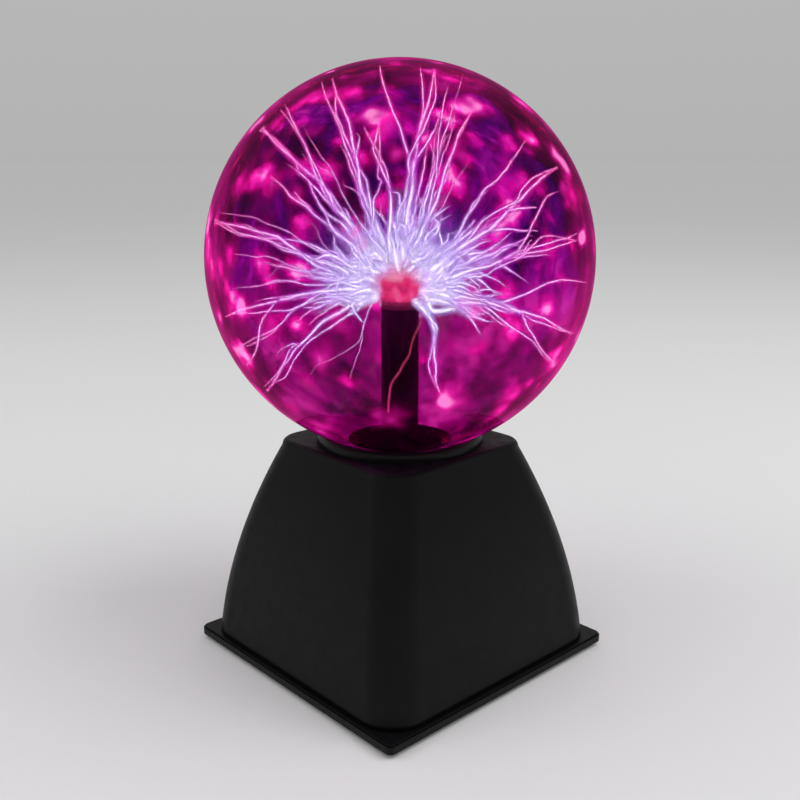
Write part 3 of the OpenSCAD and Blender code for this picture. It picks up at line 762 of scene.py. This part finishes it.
def flare(end, inwards, size, length, power):
    """The light where a streamer meets the glass: a patch on it, and nested skins that narrow inwards."""
    spots.append((end, size * 3.6, 1.3 * power))
    steps = 9
    key = Vector((rng.random(), rng.random(), rng.random())) * 40
    for layer in range(5):
        share = 0.75**layer
        path, radii, light = [], [], []
        for k in range(steps + 1):
            s = k / steps
            p = end + inwards * length * share**0.8 * s
            bump = 1 + 0.8 * noise.noise(p / (4 * MM) + key)
            path.append(p)
            radii.append(size * share * bump * ((1 - s) ** 0.9 + 0.02))
            light.append(power * (0.1 + 0.12 * layer) * (1 - s) ** 1.3)
        flares.tube(path, radii, light, 10)


def streamer(towards, leave, thick, power, forks, key):
    """A streamer from the bulb to the glass, with forks off its outer part."""
    end = GLOBE_C + towards * STREAMER_END
    start = BULB_C + leave * STREAMER_ROOT
    path = strand(start, leave, end, towards, 4 * MM, key)
    draw(path, thick, power)
    if power > BRAIDED:
        companion = strand(start, leave, end, towards, 6.5 * MM, key + 31)
        draw(companion, thick * 0.6, power * 0.85, root=3)
    flare(end, -towards, rng.uniform(0.9, 1.6) * MM * (0.5 + power * 0.5), rng.uniform(6, 12) * MM, power)
    for _ in range(forks):
        at = rng.randint(len(path) // 4, len(path) * 2 // 3)
        heading = (path[at + 1] - path[at - 1]).normalized()
        goal = (towards + 0.13 * any_way()).normalized()
        full = rng.random() < 0.4
        stop = GLOBE_C + goal * STREAMER_END
        if not full:
            stop = path[at].lerp(stop, rng.uniform(0.3, 0.7))
        twig = strand(path[at], heading, stop, goal, 3 * MM, key + rng.random(), 26)
        draw(twig, thick * 0.6, power * 0.8, fade_end=not full, root=9)
        if full:
            spots.append((stop, rng.uniform(2.5, 5) * MM, power * 0.8))


# The main streamers as the viewer sees them: clock angle and lean of the end, in degrees,
# clock angle of the start, thickness in mm, brightness and number of forks
MAIN = [
    (-20, 12, -25, 0.42, 1.0, 2),
    (-45, 15, -40, 0.40, 1.0, 3),
    (10, 12, 5, 0.46, 1.0, 3),
    (24, 35, 20, 0.34, 0.9, 1),
    (57, 25, 60, 0.42, 1.0, 2),
    (-78, 5, -70, 0.40, 1.0, 2),
    (111, 18, 95, 0.46, 1.0, 3),
    (-133, 15, -104, 0.3, 1.0, 2),
    (-105, 25, -90, 0.36, 0.9, 3),
    (160, 54, 130, 0.38, 1.0, 0),
    (-8, 45, -15, 0.32, 0.9, 1),
    (80, 30, 80, 0.32, 0.9, 3),
    (48, -20, 48, 0.32, 0.8, 1),
    (-60, -30, -55, 0.32, 0.8, 2),
    (-30, -45, -30, 0.30, 0.8, 1),
    (15, -50, 15, 0.30, 0.8, 1),
    (70, -45, 70, 0.30, 0.8, 2),
    (-95, -35, -85, 0.30, 0.8, 2),
    (125, -35, 100, 0.30, 0.8, 2),
    (-125, -40, -100, 0.30, 0.8, 2),
    (180, -55, 110, 0.28, 0.7, 1),
]


# Short, thick streamers that fork and fade before they reach the glass: clock angle and lean, in
# degrees, and reach in globe radii
WINGS = [
    (70, 20, 0.62), (75, 5, 0.55), (64, 30, 0.42), (80, 20, 0.35), (96, 15, 0.5), (102, 30, 0.42),
    (110, 20, 0.36), (-84, 20, 0.36), (-78, 10, 0.4), (-94, 25, 0.34), (-100, 15, 0.42), (-66, 20, 0.38),
    (-50, 25, 0.4), (-40, 20, 0.36), (-26, 30, 0.36), (-8, 10, 0.4), (6, 30, 0.36), (20, 10, 0.4),
    (34, 25, 0.38), (48, 15, 0.42), (-70, -35, 0.4), (-40, -45, 0.36), (12, -45, 0.36), (68, -35, 0.45),
    (100, -35, 0.4),
    (-98, -40, 0.4), (0, -75, 0.34), (140, -70, 0.34),
]


def make_wings():
    """The wings, each in two skins of mist and with three twigs."""
    shares = [k / WING_STEPS for k in range(WING_STEPS + 1)]
    for i, (clock, lean, reach) in enumerate(WINGS):
        leave = direction(clock, lean)
        start = BULB_C + leave * TUFT_ROOT
        tip = start + leave * reach * GLOBE_R
        path = strand(start, leave, tip, leave, 6 * MM, 120 + 2.9 * i, WING_STEPS, 20 * MM)
        draw(path, 0.36 * MM, 1.2, fade_end=True)
        for widen in (1.0, 0.6):
            radii = [widen * MM * (1.2 + 3.6 * s) * math.sqrt(1.001 - s * s) for s in shares]
            mist.tube(path, radii, [1.2 * (1 - s) for s in shares], 12)
        for _ in range(3):
            at = rng.randint(6, 18)
            goal = (leave + 0.4 * any_way()).normalized()
            end = path[at] + goal * reach * GLOBE_R * 0.5
            twig = strand(path[at], leave, end, goal, 3 * MM, 140 + rng.random(), 16)
            draw(twig, 0.26 * MM, 1.0, fade_end=True, root=9)


def make_ember():
    """The one dim red streamer, which runs down past the front of the stem."""
    start = BULB_C + direction(120, 35) * STREAMER_ROOT
    towards = direction(-175, 50)
    end = GLOBE_C + towards * STREAMER_END
    path = strand(start, direction(150, 50), end, towards, 4 * MM, 77)
    for thick, glow in ((0.13, 0.8), (0.3, 0.4), (0.6, 0.18)):
        ember.tube(path, [thick * MM] * len(path), [glow] * len(path), 8)
    spots.append((end, 7 * MM, 0.7))


def make_bulb_glow():
    """A red blush of light close round the bulb."""
    for widen, light in ((1.06, 0.9), (1.16, 0.7), (1.28, 0.5), (1.42, 0.36)):
        radius = BULB_R * widen
        turns = [TAU / 2 * k / BLUSH_STEPS for k in range(BLUSH_STEPS + 1)]
        path = [BULB_C + Z * (1.5 * MM - radius * math.cos(a)) for a in turns]
        radii = [1.1 * radius * (math.sin(a) + 0.01) for a in turns]
        blush.tube(path, radii, [light] * len(path), 32)


def hides_bulb(leave):
    """True if a short streamer that leaves so would cover the bulb's face, as the viewer sees it."""
    return leave.dot(TO_VIEWER) > 0.35 and leave.z < 0.55


def before_stem(towards):
    """True for the part of the glass that the viewer sees the stem and the bulb through."""
    aside = abs(towards.dot(TO_RIGHT))
    return towards.dot(TO_VIEWER) > 0.2 and aside < 0.2 and towards.z < 0.1


def make_streamers():
    """The main streamers, and small ones all round."""
    for i, (clock, toward, from_clock, thick, power, forks) in enumerate(MAIN):
        leave = direction(from_clock, toward * 0.7)
        streamer(direction(clock, toward), leave, thick * MM, power, forks, key=1.7 * i)
    for i in range(SMALL_STREAMERS):
        turn = any_way(0.35, 0.8).normalized()
        leave = Vector((turn.x, turn.y, max(turn.z, -0.1))).normalized()
        if not (hides_bulb(leave) or before_stem(turn)):
            streamer(turn, leave, rng.uniform(0.12, 0.24) * MM, rng.uniform(0.4, 0.8), 1, key=50 + 2.3 * i)


def make_corona():
    """The thick tuft of short streamers round the top and sides of the bulb, most of them close to a wing."""
    made = 0
    while made < CORONA_STRANDS:
        clock, lean, reach = WINGS[made % len(WINGS)]
        spread = 0.14 if rng.random() < 0.85 else 0.6
        leave = (direction(clock, lean) + spread * any_way()).normalized()
        if hides_bulb(leave) or leave.z < -0.3:
            continue
        made += 1
        start = BULB_C + leave * TUFT_ROOT
        far = GLOBE_R * reach * rng.uniform(0.3, 0.9)
        bend = (leave + 0.35 * any_way()).normalized()
        path = strand(start, leave, start + bend * far, bend, 8 * MM, 200 + 1.3 * made, 18, 20 * MM)
        draw(path, rng.uniform(0.18, 0.5) * MM, rng.uniform(0.7, 1.2), fade_end=True, root=0.4)


def make_blotches():
    """Patches of light on the glass, with no streamer thick enough to see."""
    for _ in range(BLOTCHES):
        towards = any_way(0.1, 0.9).normalized()
        size, power = rng.uniform(1.5, 6.0) * MM, rng.uniform(0.2, 0.75)
        if not before_stem(towards):
            spots.append((GLOBE_C + towards * INSIDE_R, size, power))


make_streamers()
make_wings()
make_ember()
make_bulb_glow()
make_corona()
make_blotches()


def from_centre(n, centre):
    """Distance from a point, in globe radii."""
    return n.math("DIVIDE", n.vector("DISTANCE", n.coords, tuple(centre)), GLOBE_R)


def glowing(name, stops, strength, alpha):
    """Light coloured by distance from the electrode. Where its glow is low it is clearer, not darker."""
    n = Nodes(name)
    glow = n.node("Attribute")
    glow.attribute_name = "glow"
    colour = n.ramp(from_centre(n, BULB_C), stops)
    flicker = n.range(n.noise(260, 3), 0.3, 0.7, 0.85, 1.15)
    shader = n.node("BsdfPrincipled", Base_Color=(0, 0, 0, 1), Roughness=1.0, Emission_Color=colour)
    shader.inputs["Specular IOR Level"].default_value = 0
    power = n.math("MULTIPLY", n.math("MAXIMUM", glow.outputs["Fac"], 0.8), flicker)
    n.put(shader.inputs["Emission Strength"], n.math("MULTIPLY", power, strength * GLARE))
    n.put(shader.inputs["Alpha"], n.math("MULTIPLY", n.math("MINIMUM", glow.outputs["Fac"], 1.0), alpha))
    n.material.cycles.emission_sampling = "NONE"
    return n.show(shader)


def flare_look():
    """Hot pink drops on the glass, crimson at their edges and nearly white at their hearts."""
    n = Nodes("plasma_flare_look")
    glow = n.node("Attribute")
    glow.attribute_name = "glow"
    colour = n.ramp(glow.outputs["Fac"], FLARE_STOPS)
    shader = n.node("BsdfPrincipled", Base_Color=(0, 0, 0, 1), Roughness=1.0, Emission_Color=colour)
    shader.inputs["Specular IOR Level"].default_value = 0
    n.put(shader.inputs["Emission Strength"], n.range(n.noise(300, 3), 0.3, 0.7, 1.1 * GLARE, 1.5 * GLARE))
    n.put(shader.inputs["Alpha"], n.range(glow.outputs["Fac"], 0.0, 1.0, 0.0, 0.2))
    n.material.cycles.emission_sampling = "NONE"
    return n.show(shader)


CORE_STOPS = [(0.0, (1, 1, 1)), (0.35, (0.95, 0.9, 1)), (0.65, (0.95, 0.66, 1)), (1.0, (1, 0.62, 0.95))]
INNER_STOPS = [(0.0, (0.92, 0.9, 1)), (0.35, (0.7, 0.58, 1)), (0.65, (0.65, 0.14, 0.8)),
               (1.0, (0.95, 0.1, 0.55))]
OUTER_STOPS = [(0.0, (0.85, 0.8, 1)), (0.33, (0.5, 0.32, 0.95)), (0.65, (0.45, 0.02, 0.5)),
               (1.0, (0.85, 0.02, 0.36))]
TRAIL_STOPS = [(0.0, (0.35, 0.2, 0.9)), (0.3, (0.2, 0.03, 0.6)), (0.65, (0.6, 0.01, 0.42)),
               (1.0, (0.9, 0.02, 0.4))]
BLUSH_STOPS = [(0.0, (0.8, 0.01, 0.12)), (0.2, (0.9, 0.06, 0.3))]
FLARE_STOPS = [(0.0, (0.5, 0, 0.14)), (0.3, (0.95, 0.03, 0.4)), (0.7, (1, 0.4, 0.75))]
EMBER_STOPS = [(0.0, (0.6, 0.12, 0.2)), (0.4, (0.4, 0.04, 0.07)), (1.0, (0.9, 0.05, 0.25))]

cores.build("plasma_cores", glowing("plasma_core_look", CORE_STOPS, 2.0, 1.0))
inner_halo.build("plasma_inner_glow", glowing("plasma_inner_look", INNER_STOPS, 1.3, 0.4))
outer_halo.build("plasma_outer_glow", glowing("plasma_outer_look", OUTER_STOPS, 1.1, 0.2))
trails.build("plasma_trails", glowing("plasma_trail_look", TRAIL_STOPS, 1.1, 0.11))
flares.build("plasma_flares", flare_look())
ember.build("plasma_ember_streamer", glowing("plasma_ember_look", EMBER_STOPS, 1.0, 0.6))
blush.build("plasma_blush", glowing("plasma_blush_look", BLUSH_STOPS, 1.0, 0.28))


def film_mesh(radius, gap, centre, rows=96, around=160):
    """Points and faces of a ball-shaped film that faces inwards, with a round gap at its bottom."""
    low = -math.acos(gap / radius)
    high = TAU / 4 - 0.004      # just short of the top, which one small face closes
    verts, faces = [], []
    for i in range(rows + 1):
        lift = low + (high - low) * i / rows
        r, z = radius * math.cos(lift), radius * math.sin(lift)
        verts += [centre + p for p in level_circle(r, z, around)]
    for i in range(rows):
        for k in range(around):
            m = (k + 1) % around
            a, b = i * around, (i + 1) * around
            faces.append((a + k, b + k, b + m, a + m))
    faces.append(tuple(rows * around + k for k in range(around - 1, -1, -1)))
    return verts, faces


def film(name, radius, gap, material, rows=96, around=160, uneven=0.0):
    """A film round the globe's centre, brighter where its points lie near a patch of light."""
    bundle = Bundle()
    verts, faces = film_mesh(radius, gap, GLOBE_C, rows, around)
    if uneven:
        verts = [GLOBE_C + (v - GLOBE_C) * (1 + uneven * noise.noise(v / (20 * MM))) for v in verts]
    bundle.add(verts, faces, [0.0] * len(verts))
    tree = kdtree.KDTree(len(verts))
    for i, v in enumerate(verts):
        tree.insert(v + 2.2 * MM * noise.noise_vector(v / (5 * MM)), i)
    tree.balance()
    for place, size, power in spots:
        for _, i, distance in tree.find_range(place, size * 2.2):
            ragged = 1 + 0.7 * noise.noise(verts[i] / (5 * MM))
            bundle.glow[i] += power * ragged * math.exp(-((distance / size) ** 2))
    return bundle.build(name, material)


def gas_glow_and_painted_shade_look(name, centre, stops, strength, thick, scale, streaks, key, calm, patch=0.0, low_share=1.0,
             veil=0.04):
    """Glowing gas in patches and streaks, from dark voids to hot spots; the dark voids are painted shade, a
    dark sheet that hides what lies behind the globe. It is seen from its inner side, and is a thin veil from
    outside, so that the stem and the streamers stand before it."""
    n = Nodes(name)
    out = n.vector("NORMALIZE", n.vector("SUBTRACT", n.coords, tuple(centre)))
    height = n.vector("DOT_PRODUCT", out, (0, 0, 1))
    at = n.vector("ADD", n.vector("MULTIPLY", out, (1, 1, streaks)), (key, key, key))
    broad = n.noise(scale, 3, at, distortion=0.5)
    fine = n.noise(scale * 3.4, 4, at, roughness=0.6, distortion=0.6)
    rays = n.noise(9, 2, n.vector("MULTIPLY", out, (1, 1, 0.14)))
    low = n.range(height, 0.2, -0.5, 0.0, 0.3, smooth=True)
    mixed = n.math("ADD", n.math("MULTIPLY", broad, 0.62), n.math("MULTIPLY", fine, 0.38))
    mixed = n.math("ADD", mixed, n.math("MULTIPLY", n.math("SUBTRACT", rays, 0.5), low))
    level = n.math("ADD", mixed, n.range(height, 0.45, -0.5, -0.03, calm, smooth=True))
    glow = n.node("Attribute")
    glow.attribute_name = "glow"
    light = n.ramp(glow.outputs["Fac"], PATCH_STOPS)
    # Painted shade: the near-black low end of the stops darkens what lies behind; the bright end is the gas's
    # glow.
    tone = n.mix(n.range(glow.outputs["Fac"], 0.0, 0.35), n.ramp(n.range(level, 0.38, 0.68), stops), light)
    shader = n.node("BsdfPrincipled", Base_Color=(0, 0, 0, 1), Roughness=1.0, Emission_Color=tone)
    shader.inputs["Specular IOR Level"].default_value = 0
    power = n.range(glow.outputs["Fac"], 0.0, 0.8, strength * GLARE, 1.9 * GLARE)
    n.put(shader.inputs["Emission Strength"], power)
    side = n.node("NewGeometry").outputs["Backfacing"]
    # The cover makes the dark voids a dark sheet, seen from inside: painted shade.
    cover = n.math("MULTIPLY", n.range(level, 0.35, 0.65, *thick), n.range(side, 0, 1, 1.0, veil))
    cover = n.math("MULTIPLY", cover, n.range(height, -0.6, 0.0, low_share, 1.0, smooth=True))
    patches = n.range(glow.outputs["Fac"], 0.0, 1.0, 0.0, patch)
    n.put(shader.inputs["Alpha"], n.math("MAXIMUM", cover, patches))
    n.material.cycles.emission_sampling = "NONE"
    return n.show(shader)


PATCH_STOPS = [(0.0, (0.4, 0, 0.15)), (0.35, (0.7, 0.001, 0.26)), (0.7, (0.9, 0.02, 0.42)),
               (1.0, (1, 0.24, 0.64))]
# The gas's tones, from near-black voids, which are painted shade, to its brightest glow.
WALL_GAS_AND_SHADE = [(0.0, (0.012, 0, 0.014)), (0.25, (0.07, 0, 0.042)), (0.5, (0.22, 0, 0.105)),
            (0.75, (0.42, 0.001, 0.2)), (1.0, (0.8, 0.02, 0.4))]
MID_GAS_AND_SHADE = [(0.0, (0.012, 0, 0.06)), (0.35, (0.06, 0.0, 0.2)), (0.55, (0.22, 0, 0.34)),
           (0.75, (0.5, 0.01, 0.45)), (1.0, (1, 0.1, 0.5))]

WALL_FILM_R, WALL_FILM_GAP = GLOBE_R - 0.2 * MM, 21 * MM
MID_FILM_R, MID_FILM_GAP = GLOBE_R * 0.86, 24 * MM

# Both films are gas glow in their bright parts and painted shade in their dark voids.
film(
    "gas_wall", WALL_FILM_R, WALL_FILM_GAP,
    gas_glow_and_painted_shade_look("gas_wall_look", GLOBE_C, WALL_GAS_AND_SHADE, 0.88, (0.75, 0.75), 1.7, 0.6, 3.0, 0.06, patch=0.5),
    rows=150, around=260,
)
film(
    "gas_middle", MID_FILM_R, MID_FILM_GAP,
    gas_glow_and_painted_shade_look("gas_middle_look", GLOBE_C, MID_GAS_AND_SHADE, 1.0, (0.1, 0.55), 2.6, 0.5, 7.4, 0.02, low_share=0.15),
    uneven=0.12,
)


HAZE_STOPS = [(0.0, (1, 0.97, 1)), (0.22, (0.75, 0.66, 1)), (0.34, (0.4, 0.2, 0.9)),
              (0.48, (0.22, 0.03, 0.6)), (0.7, (0.12, 0, 0.33))]
MIST_STOPS = [(0.0, (1, 1, 1)), (0.28, (0.85, 0.78, 1)), (0.42, (0.6, 0.36, 0.95)), (0.65, (0.5, 0.06, 0.7))]


def make_haze():
    """Soft rays of haze round the top and sides of the electrode: narrow and close, or broad and far."""
    shares = [k / HAZE_STEPS for k in range(HAZE_STEPS + 1)]
    for i in range(HAZE_RAYS):
        a = rng.uniform(0, TAU)
        leave = Vector((math.cos(a), math.sin(a), rng.uniform(-0.2, 1.2))).normalized()
        broad = i % 2 == 0
        if hides_bulb(leave):
            continue
        far = rng.uniform(0.4, 0.62) if broad else rng.uniform(0.2, 0.4)
        reach = GLOBE_R * far * (1.15 - 0.25 * abs(leave.z))
        width = rng.uniform(6, 10) * MM if broad else rng.uniform(2.5, 5) * MM
        start = BULB_C + leave * BULB_R
        path = strand(start, leave, start + leave * reach, leave, 3 * MM, 300 + 1.7 * i, HAZE_STEPS)
        radii = [width * (0.3 + 1.6 * s) * math.sqrt(1.001 - s * s) for s in shares]
        haze.tube(path, radii, [(0.6 if broad else 1.0) * (1 - s) for s in shares], 14)


haze = Bundle()
make_haze()
haze.build("plasma_haze", glowing("plasma_haze_look", HAZE_STOPS, 1.0, 0.07))
mist.build("plasma_mist", glowing("plasma_mist_look", MIST_STOPS, 1.0, 0.15))

# ---------- Stage ----------

ROOM_LIGHT = 0.52
LAMP_SIZE, LAMP_AIM_Z = 1.2, 0.1


def make_stage():
    """A plain pale floor in an evenly lit room."""
    reach = 40
    corners = [(-reach, -reach, 0), (reach, -reach, 0), (reach, reach, 0), (-reach, reach, 0)]
    floor = new_object("floor", corners, [(0, 1, 2, 3)], False)
    n = Nodes("floor_look")
    tone = n.mix(n.noise(3, 3), (0.88, 0.88, 0.885, 1), (0.9, 0.9, 0.905, 1))
    shader = n.node("BsdfPrincipled", Base_Color=tone, Roughness=0.8)
    shader.inputs["Specular IOR Level"].default_value = 0
    floor.data.materials.append(n.show(shader))
    world = bpy.data.worlds.new("room")
    world.use_nodes = True
    tree = world.node_tree
    sky = tree.nodes["Background"]
    height = tree.nodes.new("ShaderNodeSeparateXYZ")
    tree.links.new(tree.nodes.new("ShaderNodeTexCoord").outputs["Generated"], height.inputs[0])
    rise = tree.nodes.new("ShaderNodeValToRGB")
    low, high = rise.color_ramp.elements
    low.color, high.color = (0.87, 0.87, 0.877, 1), (1, 1, 1, 1)
    low.position, high.position = 0.0, 0.5
    tree.links.new(height.outputs["Z"], rise.inputs[0])
    tree.links.new(rise.outputs[0], sky.inputs[0])
    sky.inputs[1].default_value = ROOM_LIGHT
    scene.world = world


def soft_light(name, place, power):
    """A large round lamp, which no mirror shows."""
    data = bpy.data.lights.new(name, "AREA")
    data.shape = "DISK"
    data.size = LAMP_SIZE
    data.energy = power
    lamp = bpy.data.objects.new(name, data)
    scene.collection.objects.link(lamp)
    lamp.location = place
    lamp.visible_glossy = False
    aim(lamp, (0, 0, LAMP_AIM_Z))


make_stage()
soft_light("key", TO_VIEWER * 0.3 + TO_RIGHT * 0.9 + Z * 1.3, power=8)
soft_light("fill", TO_VIEWER * 0.3 - TO_RIGHT * 1.0 + Z * 1.2, power=4)
scene.view_settings.view_transform = "Standard"
scene.cycles.transparent_max_bounces = 128
